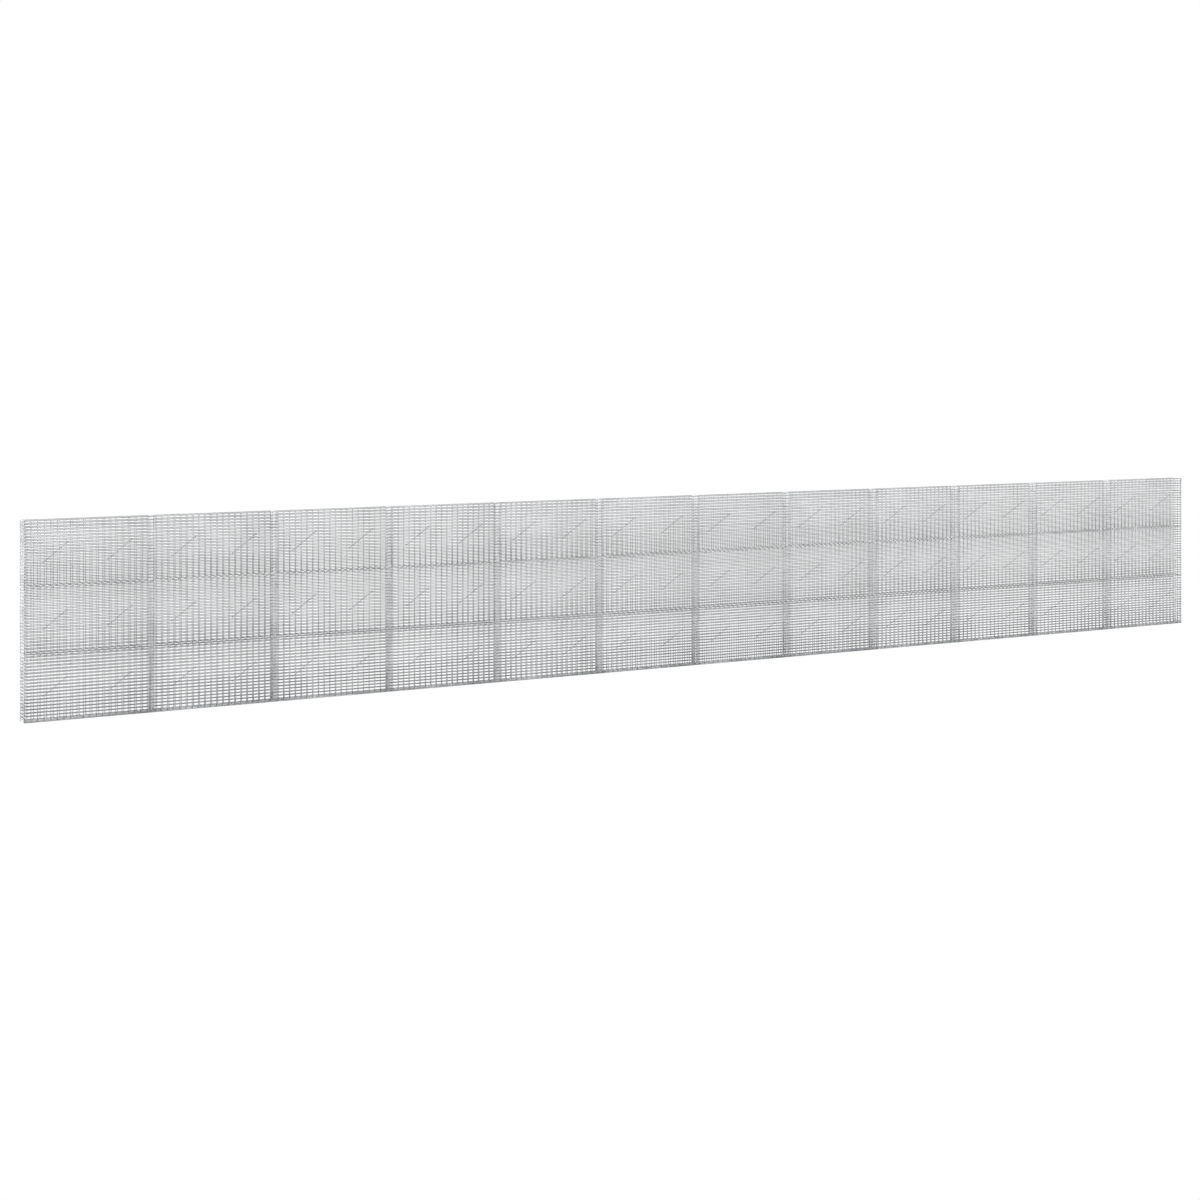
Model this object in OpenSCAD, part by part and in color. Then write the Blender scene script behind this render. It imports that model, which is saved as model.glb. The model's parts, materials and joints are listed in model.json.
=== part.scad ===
// Gabion wall: a long, thin row of welded mesh baskets, three tiers high.
// Each bay has its own front, back and base panels. Partitions divide the bays,
// spirals lace the panels together and slanted spacers tie the front to the back.
// Millimetres. X runs along the wall, Y from its front to its back, and Z is up.
// The origin is the middle of the wall's footprint, on the ground.

/* [Wall] */
// Length of the wall, end to end
wall_l = 12000; // [6000:100:16000]
// Height of the wall
wall_h = 1500; // [900:50:2400]
// Depth of the wall, from its front face to its back face
wall_d = 125; // [80:5:300]
// Bays along the wall
bays = 12; // [2:1:12]
// Tiers of front and back panels
tiers = 3; // [1:1:4]

/* [Mesh] */
// Thickness of the mesh wire
wire = 6; // [3.5:0.1:8]
// Gap between neighbouring panels, which the joining spirals bridge
seam = 6; // [2:0.5:7]
// Mesh openings across one front panel
mesh_across = 20; // [16:1:24]
// Mesh openings up one front panel
mesh_up = 20; // [16:1:24]
// Mesh openings through the depth, on the base and the partitions
mesh_deep = 3; // [2:1:8]
// Spaces between the uprights that are drawn, across one front panel
drawn_across = 5; // [3:1:8]
// Spaces between the crosswires that are drawn, up one front panel
drawn_up = 6; // [6:1:8]

/* [Spacers] */
// Thickness of a spacer's wire
spacer_d = 4; // [3:0.5:6]
// Mesh columns where the back ends of a cell's two spacers are hooked on
spacer_cols = [3.5, 13.5];
// Mesh columns between a spacer's back end and its front end
spacer_run = 3; // [0:0.5:3]
// Drawn crosswire that carries the back end, counted from the panel's foot
spacer_low = 2; // [1:1:3]
// Drawn crosswire that carries the front end, counted from the panel's foot
spacer_high = 4; // [3:1:5]

/* [Hidden] */
panel_t = 2 * wire;                               // two crossing layers of wire
panel_w = (wall_l - (bays - 1) * seam) / bays;    // one front, back or base panel
panel_h = (wall_h - (tiers - 1) * seam) / tiers;  // one tier
inner_d = wall_d - 2 * panel_t;                   // clear depth inside the baskets
inner_y = inner_d / 2;                            // inner face of the back panels
face_y = wall_d / 2;                              // outer face of the back panels
cross_y = face_y - wire;                          // inner side of their crosswires
cell_h = wall_h - panel_t;                        // partitions stand on the base panels
spacer_sides = 8;

// Lowest edge of every wire in a mesh, and the evenly chosen ones that are drawn
function wires(size, spaces) = [for (i = [0:spaces]) i * (size - wire) / spaces];
function drawn(spaces, parts) = [for (i = [0:parts]) round(i * spaces / parts)];
function some(list, picks) = [for (i = picks) list[i]];

across = wires(panel_w, mesh_across);
up = wires(panel_h, mesh_up);
deep = wires(inner_d, mesh_deep);
uprights = some(across, drawn(mesh_across, drawn_across));
crosswires = some(up, drawn(mesh_up, drawn_up));

// Places along the wall and up it; bays are counted from 1, tiers from 0
function bay_x(bay) = -wall_l / 2 + (bay - 1) * (panel_w + seam);
function seam_x(bay) = bay_x(bay + 1) - seam / 2;
function tier_z(tier) = tier * (panel_h + seam);

// Place across a panel of a spacer's end, between two uprights
function column_x(col) = wire / 2 + col * (panel_w - wire) / mesh_across;

// Crosswires of a full-height panel: one at its foot, and then level with those of
// the front panels, so that one spiral laces all their edges
levels = [for (tier = [0:tiers - 1], z = crosswires) tier_z(tier) + z - panel_t];
rungs = concat([0], [for (z = levels) if (z > wire) z]);

// Names
function two(n) = n < 10 ? str("0", n) : str(n);
function front_name(bay) = str("front_bay_", two(bay));
function back_name(bay) = str("back_bay_", two(bay));
function partition_name(bay) = str("partition_", two(bay));
function spacer_name(tier) = str("spacers_tier_", tier + 1);

// Welded mesh that stands on the X axis. Its crosswires lie against y = 0, and its
// uprights lie behind them; xs and zs are the low edges of the wires
module mesh(width, height, xs, zs) {
    for (x = xs) translate([x, wire, 0]) cube([wire, wire, height]);
    for (z = zs) translate([0, 0, z]) cube([width, wire, wire]);
}

// Three panels, one to a tier, that close the front of a bay
module front_bay(bay) {
    color("gainsboro")
    for (tier = [0:tiers - 1])
        translate([bay_x(bay), -face_y, tier_z(tier)])
            mesh(panel_w, panel_h, uprights, crosswires);
}

// The back of a bay mirrors its front
module back_bay(bay) {
    mirror([0, 1, 0]) front_bay(bay);
}

// Full-height mesh across the wall, with its crosswires on the side towards +X
module cross_mesh() {
    rotate([0, 0, 90])
        translate([-inner_y, 0, panel_t])
            mesh(inner_d, cell_h, deep, rungs);
}

// Partition on the line between a bay and the next one
module partition(bay) {
    color("silver") translate([seam_x(bay) + wire, 0, 0]) cross_mesh();
}

module right_end_wall() {
    color("silver") translate([wall_l / 2, 0, 0]) cross_mesh();
}

module left_end_wall() {
    mirror([1, 0, 0]) right_end_wall();
}

// One mesh panel to a bay, flat on the ground on its long wires
module base_panels() {
    color("darkgray")
    for (bay = [1:bays])
        translate([bay_x(bay), inner_y, 0])
            rotate([90, 0, 0]) mesh(panel_w, inner_d, uprights, deep);
}

// Straight core of each spiral between two tiers, from crosswire to crosswire
module front_tier_spirals() {
    color("gray")
    for (bay = [1:bays], tier = [1:1:tiers - 1])
        translate([bay_x(bay), -face_y, tier_z(tier) - seam])
            cube([panel_w, wire, seam]);
}

module back_tier_spirals() {
    mirror([0, 1, 0]) front_tier_spirals();
}

// Straight core of each spiral between two bays, from upright to upright
module front_bay_spirals() {
    color("gray")
    for (bay = [1:bays - 1])
        translate([seam_x(bay) - seam / 2, -cross_y, 0])
            cube([seam, wire, wall_h]);
}

module back_bay_spirals() {
    mirror([0, 1, 0]) front_bay_spirals();
}

// Slanted wire between two points, cut flush with the inner sides of the crosswires
module spacer(back_end, front_end) {
    way = front_end - back_end;
    spare = 4 * spacer_d;
    intersection() {
        translate(back_end)
            rotate([0, acos(way[2] / norm(way)), atan2(way[1], way[0])])
                translate([0, 0, -spare])
                    cylinder(h = norm(way) + 2 * spare, d = spacer_d, $fn = spacer_sides);
        translate([back_end[0] - spare, -cross_y, back_end[2] - spare])
            cube([way[0] + 2 * spare, 2 * cross_y, way[2] + 2 * spare]);
    }
}

// Two spacers to a cell, from a low crosswire at the back to a high one in front
module spacers(tier) {
    color("dimgray")
    for (bay = [1:bays], col = spacer_cols)
        spacer(
            [bay_x(bay) + column_x(col), cross_y,
             tier_z(tier) + crosswires[spacer_low] + wire / 2],
            [bay_x(bay) + column_x(col + spacer_run), -cross_y,
             tier_z(tier) + crosswires[spacer_high] + wire / 2]
        );
}

for (bay = [1:bays]) {
    front_bay(bay);
    back_bay(bay);
}
for (bay = [1:bays - 1])
    partition(bay);
left_end_wall();
right_end_wall();
base_panels();
front_tier_spirals();
back_tier_spirals();
front_bay_spirals();
back_bay_spirals();
for (tier = [0:tiers - 1])
    spacers(tier);
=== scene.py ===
import json
import math

import bpy
import numpy as np
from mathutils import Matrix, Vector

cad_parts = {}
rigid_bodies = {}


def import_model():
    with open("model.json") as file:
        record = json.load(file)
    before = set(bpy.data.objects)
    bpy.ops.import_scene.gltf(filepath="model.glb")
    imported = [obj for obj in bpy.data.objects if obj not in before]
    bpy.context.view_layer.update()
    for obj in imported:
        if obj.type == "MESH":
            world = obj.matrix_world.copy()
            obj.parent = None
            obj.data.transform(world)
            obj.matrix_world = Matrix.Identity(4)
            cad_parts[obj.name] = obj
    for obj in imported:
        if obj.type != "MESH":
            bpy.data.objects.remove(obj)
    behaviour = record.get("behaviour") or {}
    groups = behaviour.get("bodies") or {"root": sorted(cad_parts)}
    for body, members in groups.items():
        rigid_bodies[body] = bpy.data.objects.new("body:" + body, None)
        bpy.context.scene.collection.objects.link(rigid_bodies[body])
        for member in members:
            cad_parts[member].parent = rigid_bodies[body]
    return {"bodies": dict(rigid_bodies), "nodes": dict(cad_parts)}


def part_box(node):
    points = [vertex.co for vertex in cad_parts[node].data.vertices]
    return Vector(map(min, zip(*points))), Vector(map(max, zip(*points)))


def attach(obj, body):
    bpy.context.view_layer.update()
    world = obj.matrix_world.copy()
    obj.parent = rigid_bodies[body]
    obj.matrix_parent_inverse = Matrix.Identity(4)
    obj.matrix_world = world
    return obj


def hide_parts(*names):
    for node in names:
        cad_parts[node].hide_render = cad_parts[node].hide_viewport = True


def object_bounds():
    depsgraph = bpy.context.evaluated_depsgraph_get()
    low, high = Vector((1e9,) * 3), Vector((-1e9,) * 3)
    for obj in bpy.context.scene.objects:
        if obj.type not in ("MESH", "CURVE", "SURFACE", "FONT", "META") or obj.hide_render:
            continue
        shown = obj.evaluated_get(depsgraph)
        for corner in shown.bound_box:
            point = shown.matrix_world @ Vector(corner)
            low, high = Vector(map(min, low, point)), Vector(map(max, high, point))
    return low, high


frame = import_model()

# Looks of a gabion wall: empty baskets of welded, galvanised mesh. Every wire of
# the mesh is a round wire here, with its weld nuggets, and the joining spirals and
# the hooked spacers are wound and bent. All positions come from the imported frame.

CAD_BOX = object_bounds()
BODY = next(iter(frame["bodies"]))
MM = 0.001


# ---------------------------------------------------------------- sizes, in metres

def corners(node):
    """Lowest and highest corner of a CAD node, as two arrays."""
    low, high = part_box(node)
    return np.array(low), np.array(high)


def numbered(prefix):
    """Names of the CAD nodes that start with the prefix, in order."""
    return sorted(name for name in frame["nodes"] if name.startswith(prefix))


FRONT = numbered("front_bay_0") + numbered("front_bay_1")
BACK = numbered("back_bay_0") + numbered("back_bay_1")
PARTITIONS = numbered("partition_")
SPACERS = numbered("spacers_tier_")

WALL_LOW, WALL_HIGH = (np.array(corner) for corner in CAD_BOX)
FIRST_LOW, FIRST_HIGH = corners(FRONT[0])
FIRST_SEAM_LOW, _ = corners("front_tier_spirals")

PANEL_T = FIRST_HIGH[1] - FIRST_LOW[1]          # two layers of wire
WIRE_R = PANEL_T / 4                            # radius of a mesh wire
PANEL_W = FIRST_HIGH[0] - FIRST_LOW[0]
PANEL_H = FIRST_SEAM_LOW[2]                     # one tier, up to the first seam
TIERS = len(SPACERS)
SEAM = (WALL_HIGH[2] - TIERS * PANEL_H) / (TIERS - 1)
TIER_Z = [tier * (PANEL_H + SEAM) for tier in range(TIERS)]
FACE_Y = WALL_HIGH[1]                           # outer face of the back panels
INNER_Y = FACE_Y - PANEL_T                      # inner face of the back panels
BAY_X = [corners(name)[0][0] for name in FRONT]
SEAM_X = [corners(name)[0][0] + PANEL_T / 2 for name in PARTITIONS]

OPENINGS = 20                                   # mesh openings each way on a panel
OPENINGS_DEEP = 3                               # and through the depth of the wall
SPIRAL_R = 1.5 * MM                             # radius of a joining spiral's wire
SPACER_R = 2 * MM                               # radius of a spacer's wire
SLACK = 0.2 * MM                                # between a bent wire and what it holds
BITE = 0.4 * MM                                 # how far two welded wires sink together

# Tones of zinc, from 0 for the darkest to 1 for the lightest. A panel's uprights are
# painted light and its crosswires painted shade, for how light falls on upright and level wire
UPRIGHT_PAINTED_LIGHT_TONE = 0.95
CROSSWIRE_PAINTED_SHADE_TONE = 0.15
WELD_TONE = 0.3
# The partitions are painted light: their tone is raised against the shade inside the wall
PARTITION_PAINTED_LIGHT_TONE = 0.9
END_TONE = 0.55
# The level spirals at the tier seams are painted shade, in the darkest tone, and the upright spirals
# at the bay lines are painted light
TIER_SPIRAL_PAINTED_SHADE_TONE = 0.0
BAY_SPIRAL_PAINTED_LIGHT_TONE = 0.9


# ---------------------------------------------------------------- wire geometry

def unit(vectors):
    """Each vector over its own length."""
    return vectors / np.linalg.norm(vectors, axis=-1, keepdims=True)


def sweep(paths, outs, radius, sides, tone=0.5):
    """Round wires along many paths at once, as closed tubes.

    paths is (wires, points, 3) and outs a direction for each point that isn't along
    the wire. At a point with tangent t, n is outs made square to t, b is t x n, and
    the ring is point + radius (n cos a + b sin a) for a from 0 to a full turn.
    Returns the vertices, the side faces, the end faces, each vertex's wire and the
    tone given to the wires, in which painted light and painted shade are set."""
    paths = np.asarray(paths, dtype=float)
    wires, points, _ = paths.shape
    steps = unit(np.diff(paths, axis=1))
    before = np.concatenate([steps[:, :1], steps], axis=1)
    after = np.concatenate([steps, steps[:, -1:]], axis=1)
    tangent = unit(before + after)
    outs = np.broadcast_to(outs, paths.shape)
    normal = unit(outs - tangent * np.sum(outs * tangent, axis=-1, keepdims=True))
    across = np.cross(tangent, normal)
    turn = np.arange(sides) * (2 * math.pi / sides)
    ring = (normal[:, :, None] * np.cos(turn)[:, None]
            + across[:, :, None] * np.sin(turn)[:, None])
    verts = (paths[:, :, None] + radius * ring).reshape(-1, 3)
    index = np.arange(wires * points * sides).reshape(wires, points, sides)
    beside = np.roll(index, -1, axis=2)
    quads = np.stack([index[:, :-1], beside[:, :-1], beside[:, 1:], index[:, 1:]], axis=-1)
    ends = np.concatenate([index[:, 0, ::-1], index[:, -1]])
    owner = np.repeat(np.arange(wires), points * sides)
    return verts, quads.reshape(-1, 4), ends, owner, tone


def straight(starts, ends, tone=0.5, sides=8):
    """Straight mesh wires from starts to ends, as sweeps of two points."""
    starts, ends = np.broadcast_arrays(starts, ends)
    paths = np.stack([starts.reshape(-1, 3), ends.reshape(-1, 3)], axis=1)
    return sweep(paths, (0.31, 0.53, 0.79), WIRE_R, sides, tone)


def grid_points(xs, ys, zs):
    """Every point with one of the xs, one of the ys and one of the zs."""
    return np.stack(np.meshgrid(xs, ys, zs, indexing="ij"), axis=-1).reshape(-1, 3)


def spiral(start, end, turns, radius, outward, tone, ease=0.0, per_turn=10, sides=6):
    """A spiral wire from start to end round the straight line between them.

    At a share s of the way, the path is line(s) + radius (o cos w + q sin w), with o
    the outward direction, q square to o and to the line, and w = v - ease sin v for
    v = 2 pi turns s. The ease makes it climb steeply where it faces outward."""
    start, end, outward = (np.asarray(v, dtype=float) for v in (start, end, outward))
    share = np.linspace(0, 1, round(turns * per_turn) + 1)[:, None]
    angle = 2 * math.pi * turns * share
    angle -= ease * np.sin(angle)
    side = np.cross(unit(end - start), outward)
    radial = outward * np.cos(angle) + side * np.sin(angle)
    path = start + (end - start) * share + radius * radial
    return sweep(path[None], radial[None], SPIRAL_R, sides, tone)


# A square waist between the two wires of a crossing, with a point sunk in each wire:
# the least shape that fills the corners of the crossing as a weld does
NUGGET = np.array([[1, 1, 0], [-1, 1, 0], [-1, -1, 0], [1, -1, 0], [0, 0, 1.1], [0, 0, -1.1]])
NUGGET_FACES = np.array([[0, 1, 4], [1, 2, 4], [2, 3, 4], [3, 0, 4],
                         [1, 0, 5], [2, 1, 5], [3, 2, 5], [0, 3, 5]])


def nuggets(centres, axis):
    """Weld nuggets at the centres, on a mesh whose normal is the numbered axis."""
    shape = np.roll(NUGGET, axis - 2, axis=1) * WIRE_R
    verts = (centres[:, None] + shape).reshape(-1, 3)
    faces = (np.arange(len(centres))[:, None, None] * len(NUGGET) + NUGGET_FACES).reshape(-1, 3)
    return verts, faces


def piece(name, wires, welds, material, slot, seed, *replaced):
    """One object from swept wires and weld nuggets, with each wire's own tone.

    The tone attribute is the tone given to the wire, give or take a little at random,
    and WELD_TONE on a weld; the given tones carry painted light and painted shade. The material
    makes lighter and darker zinc of it."""
    random = np.random.default_rng(seed)
    verts, faces, smooth, tones, base = [], [], [], [], 0
    for points, quads, ends, owner, tone in wires:
        verts.append(points)
        faces += [quads + base, ends + base]
        smooth += [np.ones(len(quads), bool), np.zeros(len(ends), bool)]
        tones.append((tone + random.uniform(-0.15, 0.15, owner.max() + 1))[owner])
        base += len(points)
    for points, triangles in welds:
        verts.append(points)
        faces.append(triangles + base)
        smooth.append(np.ones(len(triangles), bool))
        tones.append(np.full(len(points), WELD_TONE))
        base += len(points)
    counts = np.concatenate([np.full(len(part), part.shape[1]) for part in faces])
    corners_of_faces = np.concatenate([part.ravel() for part in faces])
    mesh = bpy.data.meshes.new(name)
    mesh.vertices.add(base)
    mesh.vertices.foreach_set("co", np.concatenate(verts).ravel().astype(np.float32))
    mesh.loops.add(len(corners_of_faces))
    mesh.loops.foreach_set("vertex_index", corners_of_faces.astype(np.int32))
    mesh.polygons.add(len(counts))
    mesh.polygons.foreach_set("loop_start", (np.cumsum(counts) - counts).astype(np.int32))
    mesh.polygons.foreach_set("use_smooth", np.concatenate(smooth))
    mesh.update(calc_edges=True)
    attribute = mesh.attributes.new("tone", "FLOAT", "POINT")
    attribute.data.foreach_set("value", np.concatenate(tones).astype(np.float32))
    mesh.materials.append(material)
    thing = bpy.data.objects.new(name, mesh)
    bpy.context.scene.collection.objects.link(thing)
    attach(thing, BODY)
    if replaced:
        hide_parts(*replaced)
    return thing


# ---------------------------------------------------------------- materials

def linear(hexcode):
    """sRGB hex colour as a linear RGBA."""
    srgb = np.array([int(hexcode[i:i + 2], 16) for i in (1, 3, 5)]) / 255
    rgb = np.where(srgb <= 0.04045, srgb / 12.92, ((srgb + 0.055) / 1.055) ** 2.4)
    return (*rgb.tolist(), 1.0)


def add(tree, kind, settings=None, links=None, values=None):
    """Adds a node: settings are its properties, values its sockets' numbers, and
    links its sockets' sources, each given as (node, output)."""
    made = tree.nodes.new(kind)
    for key, value in (settings or {}).items():
        setattr(made, key, value)
    for key, value in (values or {}).items():
        made.inputs[key].default_value = value
    for key, (source, output) in (links or {}).items():
        tree.links.new(source.outputs[output], made.inputs[key])
    return made


def ramp(tree, source, stops):
    """Colour ramp over the stops, each (place, hex colour)."""
    made = add(tree, "ShaderNodeValToRGB", links={"Fac": source})
    band = made.color_ramp
    while len(band.elements) < len(stops):
        band.elements.new(0.5)
    for element, (place, colour) in zip(band.elements, stops):
        element.position = place
        element.color = linear(colour)
    return made


def galvanised(name, dark, light, rough, spangle_mm):
    """Zinc-coated steel wire: metal, with a dull cloudy coat.

    Spangle is the zinc's crystals, each a slightly different grey. The hot dip
    leaves soft bumps a few millimetres long, and weathering a cloudiness that
    changes over hand-widths. Each wire and each weld has its own tone too."""
    material = bpy.data.materials.new(name)
    material.use_nodes = True
    tree = material.node_tree
    tree.nodes.clear()
    place = add(tree, "ShaderNodeTexCoord")
    spangle = add(tree, "ShaderNodeTexVoronoi", links={"Vector": (place, "Object")},
                  values={"Scale": 1 / (spangle_mm * MM), "Randomness": 1.0})
    grey = add(tree, "ShaderNodeRGBToBW", links={"Color": (spangle, "Color")})
    clouds = add(tree, "ShaderNodeTexNoise", links={"Vector": (place, "Object")},
                 values={"Scale": 1 / (180 * MM), "Detail": 4.0, "Roughness": 0.6})
    own = add(tree, "ShaderNodeAttribute", {"attribute_name": "tone"})
    both = add(tree, "ShaderNodeMath", {"operation": "MULTIPLY_ADD"},
               {0: (grey, "Val"), 2: (clouds, "Fac")}, {1: 0.35})
    total = add(tree, "ShaderNodeMath", {"operation": "ADD"},
                {0: (own, "Fac"), 1: (both, "Value")})
    spread = add(tree, "ShaderNodeMapRange", links={"Value": (total, "Value")},
                 values={"From Min": 0.55, "From Max": 1.65})
    colour = ramp(tree, (spread, "Result"), [(0.0, dark), (1.0, light)])
    gloss = add(tree, "ShaderNodeMapRange", links={"Value": (spread, "Result")},
                values={"To Min": rough + 0.12, "To Max": rough - 0.08})
    bumps = add(tree, "ShaderNodeTexNoise", links={"Vector": (place, "Object")},
                values={"Scale": 1 / (3 * MM), "Detail": 3.0, "Roughness": 0.5})
    bump = add(tree, "ShaderNodeBump", links={"Height": (bumps, "Fac")},
               values={"Strength": 0.25, "Distance": 0.2 * MM})
    surface = add(tree, "ShaderNodeBsdfPrincipled",
                  links={"Base Color": (colour, "Color"), "Roughness": (gloss, "Result"),
                         "Normal": (bump, "Normal")},
                  values={"Metallic": 0.85})
    add(tree, "ShaderNodeOutputMaterial", links={"Surface": (surface, "BSDF")})
    return material


# Hot-dip galvanised panel wire: dull grey with a fine cloudy coat; its range from dark to light
# holds the painted light of the uprights and the painted shade of the crosswires
PANEL_ZINC = galvanised("hot_dip_galvanised_mesh", "#7d7f81", "#c6c8ca", 0.5, 7)
# The cross panels and the base mesh get a lighter zinc than the face panels: painted light, to
# offset the wall's own shade that they stand in
CROSS_ZINC_PAINTED_LIGHTER = galvanised("galvanised_cross_mesh_painted_lighter", "#8f9193", "#fafbfc", 0.52, 7)
# Spirals are wound from drawn galvanised wire: smoother, so a little more gloss. Its wide grey range
# holds the painted shade of the tier spirals and the painted light of the bay spirals
SPIRAL_ZINC = galvanised("drawn_galvanised_spiral_wire", "#5c5e60", "#f0f1f2", 0.38, 4)
# Spacers are cut from the same drawn wire and bent cold; they are given a darker, narrower grey
# range than the mesh
SPACER_ZINC = galvanised("drawn_galvanised_spacer_wire", "#5c5f61", "#949799", 0.4, 4)


# ---------------------------------------------------------------- panels

def wires_between(low, high, spaces):
    """Centres of the wires of a mesh whose outer edges are at low and high."""
    return np.linspace(low + WIRE_R, high - WIRE_R, spaces + 1)


def tier_levels(tier):
    """Heights of a tier's crosswires."""
    return wires_between(TIER_Z[tier], TIER_Z[tier] + PANEL_H, OPENINGS)


X, Y, Z = range(3)
CROSS_Y = FACE_Y - WIRE_R - BITE / 2             # the crosswires, a panel's outer layer
UPRIGHT_Y = FACE_Y - 3 * WIRE_R + BITE / 2       # and the uprights behind them
WELD_Y = FACE_Y - 2 * WIRE_R


def face_panels(name, node, facing, seed):
    """The three mesh panels of a bay's front (facing -1) or back (facing 1)."""
    low, high = corners(node)
    xs = wires_between(low[0], high[0], OPENINGS)
    wires, welds = [], []
    for tier in range(TIERS):
        foot = TIER_Z[tier]
        zs = tier_levels(tier)
        y = facing * UPRIGHT_Y
        wires.append(straight(grid_points(xs, [y], [foot]), grid_points(xs, [y], [foot + PANEL_H]),
                              UPRIGHT_PAINTED_LIGHT_TONE))
        y = facing * CROSS_Y
        wires.append(straight(grid_points([low[0]], [y], zs), grid_points([high[0]], [y], zs),
                              CROSSWIRE_PAINTED_SHADE_TONE))
        welds.append(nuggets(grid_points(xs, [facing * WELD_Y], zs), Y))
    piece(name, wires, welds, PANEL_ZINC, "mesh_panel_wire", seed, node)


def cross_panel(name, node, towards, tone, seed):
    """A full-height mesh across the wall, with its crosswires on its side towards x."""
    low, high = corners(node)
    middle = (low[0] + high[0]) / 2
    rung_x = middle + towards * (WIRE_R - BITE / 2)
    upright_x = middle - towards * (WIRE_R - BITE / 2)
    ys = wires_between(low[1], high[1], OPENINGS_DEEP)
    levels = np.concatenate([tier_levels(tier) for tier in range(TIERS)])
    zs = np.append(low[2] + WIRE_R, levels[levels > low[2] + 2 * WIRE_R])
    wires = [
        straight(grid_points([upright_x], ys, [low[2]]), grid_points([upright_x], ys, [high[2]]),
                 tone),
        straight(grid_points([rung_x], [low[1]], zs), grid_points([rung_x], [high[1]], zs), tone),
    ]
    welds = [nuggets(grid_points([middle], ys, zs), X)]
    piece(name, wires, welds, CROSS_ZINC_PAINTED_LIGHTER, "cross_panel_wire", seed, node)


def base_mesh():
    """The mesh panels on the ground, one to a bay, flat on their long wires."""
    low, high = corners("base_panels")
    ys = wires_between(low[1], high[1], OPENINGS_DEEP)
    long_z = low[2] + WIRE_R + BITE / 2
    short_z = high[2] - WIRE_R - BITE / 2
    wires, welds = [], []
    for left in BAY_X:
        xs = wires_between(left, left + PANEL_W, OPENINGS)
        wires.append(straight(grid_points(xs, [low[1]], [short_z]),
                              grid_points(xs, [high[1]], [short_z])))
        wires.append(straight(grid_points([left], ys, [long_z]),
                              grid_points([left + PANEL_W], ys, [long_z])))
        welds.append(nuggets(grid_points(xs, ys, [low[2] + 2 * WIRE_R]), Z))
    piece("base_mesh", wires, welds, CROSS_ZINC_PAINTED_LIGHTER, "cross_panel_wire", 90, "base_panels")


for number, (front, back) in enumerate(zip(FRONT, BACK), start=1):
    face_panels(f"front_mesh_{number:02d}", front, -1, number)
    face_panels(f"back_mesh_{number:02d}", back, 1, 20 + number)
for number, node in enumerate(PARTITIONS, start=1):
    cross_panel(f"partition_mesh_{number:02d}", node, 1, PARTITION_PAINTED_LIGHT_TONE, 40 + number)
cross_panel("left_end_mesh", "left_end_wall", -1, END_TONE, 60)
cross_panel("right_end_mesh", "right_end_wall", 1, END_TONE, 61)
base_mesh()


# ---------------------------------------------------------------- spirals

def tier_spirals(name, node, facing, seed):
    """Level spirals between the tiers, round the edge crosswires that meet there:
    one turn to each mesh opening, outside the panels at an upright and inside them
    in the middle of an opening."""
    pitch = (PANEL_W - 2 * WIRE_R) / OPENINGS
    radius = SEAM / 2 + 2 * WIRE_R + SPIRAL_R + SLACK
    y = facing * CROSS_Y
    turns = OPENINGS - 2
    wires = []
    for left in BAY_X:
        for tier in range(1, TIERS):
            z = TIER_Z[tier] - SEAM / 2
            start = left + WIRE_R + pitch
            wires.append(spiral((start, y, z), (start + turns * pitch, y, z), turns, radius,
                                (0, facing, 0), TIER_SPIRAL_PAINTED_SHADE_TONE))
    piece(name, wires, [], SPIRAL_ZINC, "spiral_wire", seed, node)


def upright_spirals(name, node, facing, seed):
    """Upright spirals at the bay lines and the corners, round the edge uprights of
    the panels that meet there: one turn to each opening, and each tier by itself.

    At a crosswire's height a spiral is at its side that is clear of the cross
    panel's wires, and climbs steeply there, so that it also clears the crosswires."""
    pitch = (PANEL_H - 2 * WIRE_R) / OPENINGS
    turns = OPENINGS - 2
    edge_y = facing * (FACE_Y - 3 * WIRE_R)
    cell_y = facing * (INNER_Y - WIRE_R)
    half_seam = SEAM / 2 + WIRE_R
    lines = [(np.array([[x - half_seam, edge_y], [x + half_seam, edge_y], [x - WIRE_R, cell_y]]), -1)
             for x in SEAM_X]
    for end, clear in ((WALL_LOW[0], 1), (WALL_HIGH[0], -1)):
        lines.append((np.array([[end + clear * WIRE_R, edge_y],
                                [end + clear * 3 * WIRE_R, cell_y]]), clear))
    wires = []
    for rods, clear in lines:
        centre = (rods.min(axis=0) + rods.max(axis=0)) / 2
        reach = np.linalg.norm(rods - centre, axis=1).max()
        radius = reach + WIRE_R + SPIRAL_R + SLACK
        for tier in range(TIERS):
            foot = TIER_Z[tier] + WIRE_R + pitch
            wires.append(spiral((*centre, foot), (*centre, foot + turns * pitch), turns,
                                radius, (clear, 0, 0), BAY_SPIRAL_PAINTED_LIGHT_TONE, ease=0.6))
    piece(name, wires, [], SPIRAL_ZINC, "spiral_wire", seed, node)


tier_spirals("front_tier_spiral_wire", "front_tier_spirals", -1, 70)
tier_spirals("back_tier_spiral_wire", "back_tier_spirals", 1, 71)
upright_spirals("front_bay_spiral_wire", "front_bay_spirals", -1, 72)
upright_spirals("back_bay_spiral_wire", "back_bay_spirals", 1, 73)


# ---------------------------------------------------------------- spacers

HOOK_R = WIRE_R + SPACER_R + SLACK              # a hook's bend, round a crosswire
HOOK_TURN = math.radians(205)                   # how far the hook goes round it
HOOK_POINTS = 12


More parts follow.
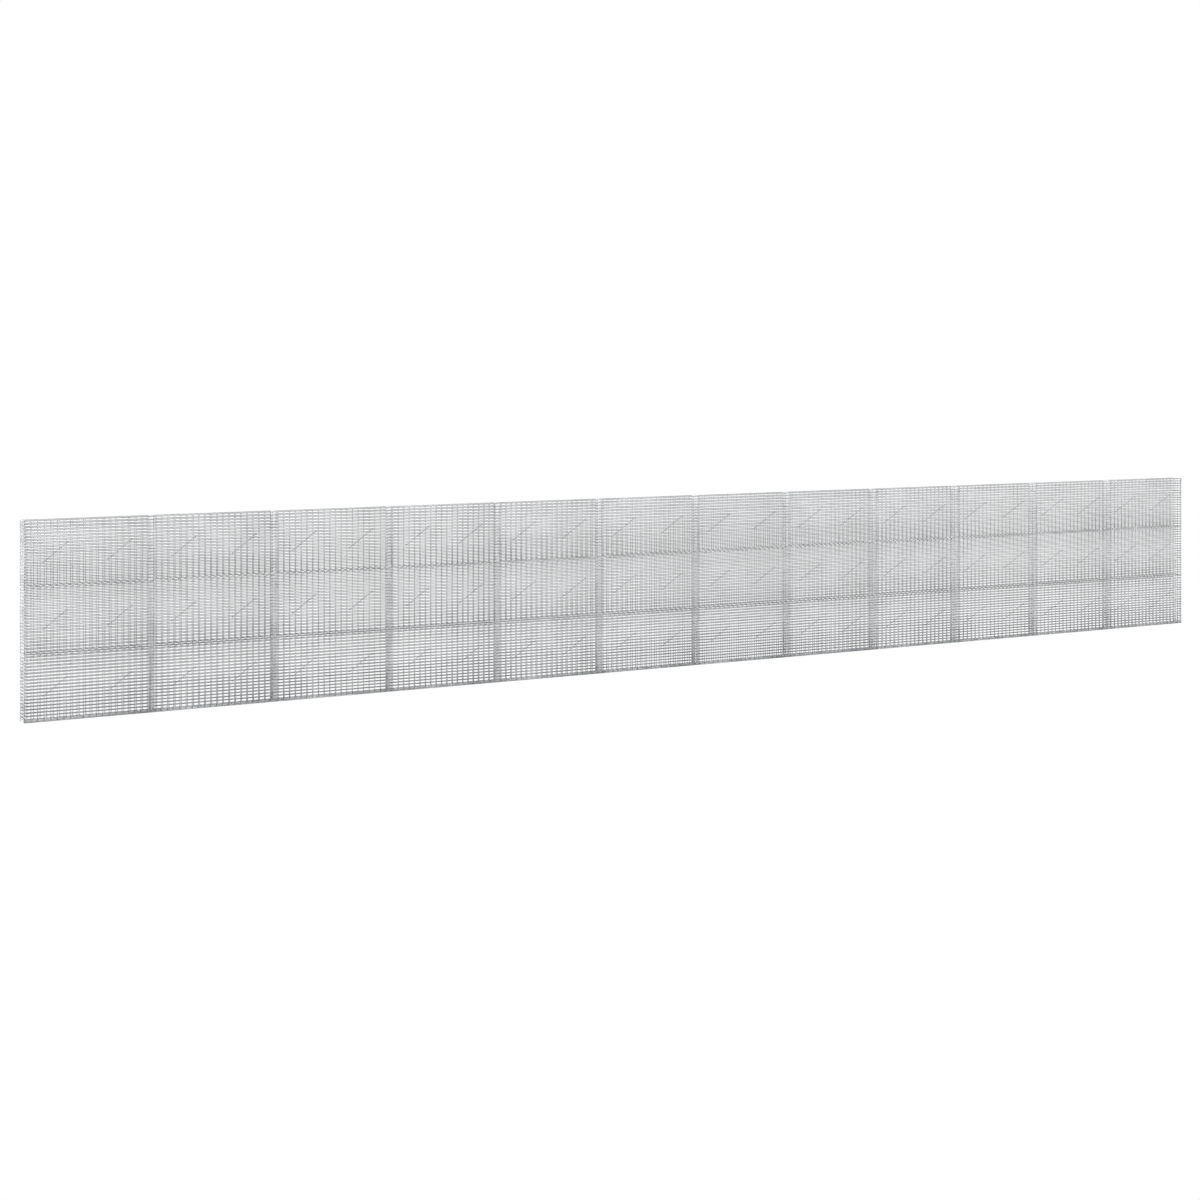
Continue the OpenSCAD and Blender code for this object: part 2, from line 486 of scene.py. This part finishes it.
def spacer_paths(back_x, front_x, back_z, front_z):
    """Paths of slanted spacers with a hook at each end, seen along the wall.

    Each hook is a circle round its crosswire, point + HOOK_R (cos a, sin a). The
    straight stretch is their inner tangent: with d from the back crosswire to the
    front one, its normal m has d . m = -2 HOOK_R."""
    eye_y = CROSS_Y
    way = np.array([-2 * eye_y, front_z - back_z])
    length = np.linalg.norm(way)
    along = way / length
    lean = math.asin(2 * HOOK_R / length)
    normal = math.cos(lean) * np.array([along[1], -along[0]]) - math.sin(lean) * along
    first = math.atan2(normal[1], normal[0])
    front = first + np.linspace(0, HOOK_TURN, HOOK_POINTS)
    back = first + math.pi + np.linspace(HOOK_TURN, 0, HOOK_POINTS)
    y = np.concatenate([eye_y + HOOK_R * np.cos(back), -eye_y + HOOK_R * np.cos(front)])
    z = np.concatenate([back_z + HOOK_R * np.sin(back), front_z + HOOK_R * np.sin(front)])
    paths = np.empty((len(back_x), 2 * HOOK_POINTS, 3))
    paths[:, :HOOK_POINTS, 0] = np.array(back_x)[:, None]
    paths[:, HOOK_POINTS:, 0] = np.array(front_x)[:, None]
    paths[:, :, 1] = y
    paths[:, :, 2] = z
    return paths


def spacer_wires(tier, node):
    """The spacers of one tier. Their heights are read from the frame, at the crosswires
    nearest the node's bottom and top; along the wall they stand at two given mesh columns in each
    bay, and each reaches three columns on at the front."""
    low, high = corners(node)
    pitch = (PANEL_W - 2 * WIRE_R) / OPENINGS
    columns = np.array([3.5, 13.5])
    back_x = (np.array(BAY_X)[:, None] + WIRE_R + columns * pitch).ravel()
    front_x = back_x + 3 * pitch
    levels = tier_levels(tier)
    back_z = levels[np.abs(levels - low[2]).argmin()]
    front_z = levels[np.abs(levels - high[2]).argmin()]
    paths = spacer_paths(back_x, front_x, back_z, front_z)
    wires = [sweep(paths, (1.0, 0.2, 0.1), SPACER_R, 8)]
    piece(f"spacer_wires_tier_{tier + 1}", wires, [], SPACER_ZINC, "spacer_wire",
          80 + tier, node)


for tier, node in enumerate(SPACERS):
    spacer_wires(tier, node)


# ---------------------------------------------------------------- stage and camera

def seen_white(tree, kind, seen, output):
    """Splits a stage shader in two: plain white where the camera sees it directly,
    and what lights the object, seen, everywhere else."""
    rays = add(tree, "ShaderNodeLightPath")
    white = add(tree, kind, values={"Color": (1, 1, 1, 1), "Strength": 1.0})
    both = add(tree, "ShaderNodeMixShader", links={0: (rays, "Is Camera Ray")})
    tree.links.new(seen, both.inputs[1])
    tree.links.new(white.outputs[0], both.inputs[2])
    add(tree, output, links={"Surface": (both, "Shader")})


def studio():
    """A white floor and surround, and one broad soft key from the front left."""
    half = 80.0
    mesh = bpy.data.meshes.new("floor")
    mesh.from_pydata([(-half, -half, 0), (half, -half, 0), (half, half, 0), (-half, half, 0)],
                     [], [(0, 1, 2, 3)])
    paper = bpy.data.materials.new("white_paper")
    paper.use_nodes = True
    paper.node_tree.nodes.clear()
    matt = add(paper.node_tree, "ShaderNodeBsdfDiffuse", values={"Color": linear("#f4f4f4")})
    seen_white(paper.node_tree, "ShaderNodeEmission", matt.outputs["BSDF"],
               "ShaderNodeOutputMaterial")
    mesh.materials.append(paper)
    floor = bpy.data.objects.new("floor", mesh)
    bpy.context.scene.collection.objects.link(floor)
    world = bpy.data.worlds.new("white_surround")
    world.use_nodes = True
    world.node_tree.nodes.clear()
    light = add(world.node_tree, "ShaderNodeBackground",
                values={"Color": (1, 1, 1, 1), "Strength": 1.5})
    seen_white(world.node_tree, "ShaderNodeBackground", light.outputs["Background"],
               "ShaderNodeOutputWorld")
    bpy.context.scene.world = world
    key = bpy.data.lights.new("key", "SUN")
    key.energy = 0.6
    key.angle = math.radians(40)
    lamp = bpy.data.objects.new("key", key)
    lamp.rotation_euler = (math.radians(48), 0, math.radians(-35))
    bpy.context.scene.collection.objects.link(lamp)


def camera():
    """Off the wall's left end, at standing height on a step, looking level and
    along the wall; the wall's upper half lies below the middle of the view."""
    view = bpy.data.cameras.new("camera")
    view.sensor_width = 36.0
    view.lens = 62.46
    view.shift_y = -0.19
    view.clip_start = 0.1
    view.clip_end = 400.0
    eye = bpy.data.objects.new("camera", view)
    eye.location = (WALL_LOW[0] - 4.28, WALL_LOW[1] - 15.39, 2.60)
    eye.rotation_euler = (math.radians(90), 0, math.radians(-31.0))
    bpy.context.scene.collection.objects.link(eye)
    bpy.context.scene.camera = eye


studio()
camera()
bpy.context.scene.view_settings.view_transform = "Standard"
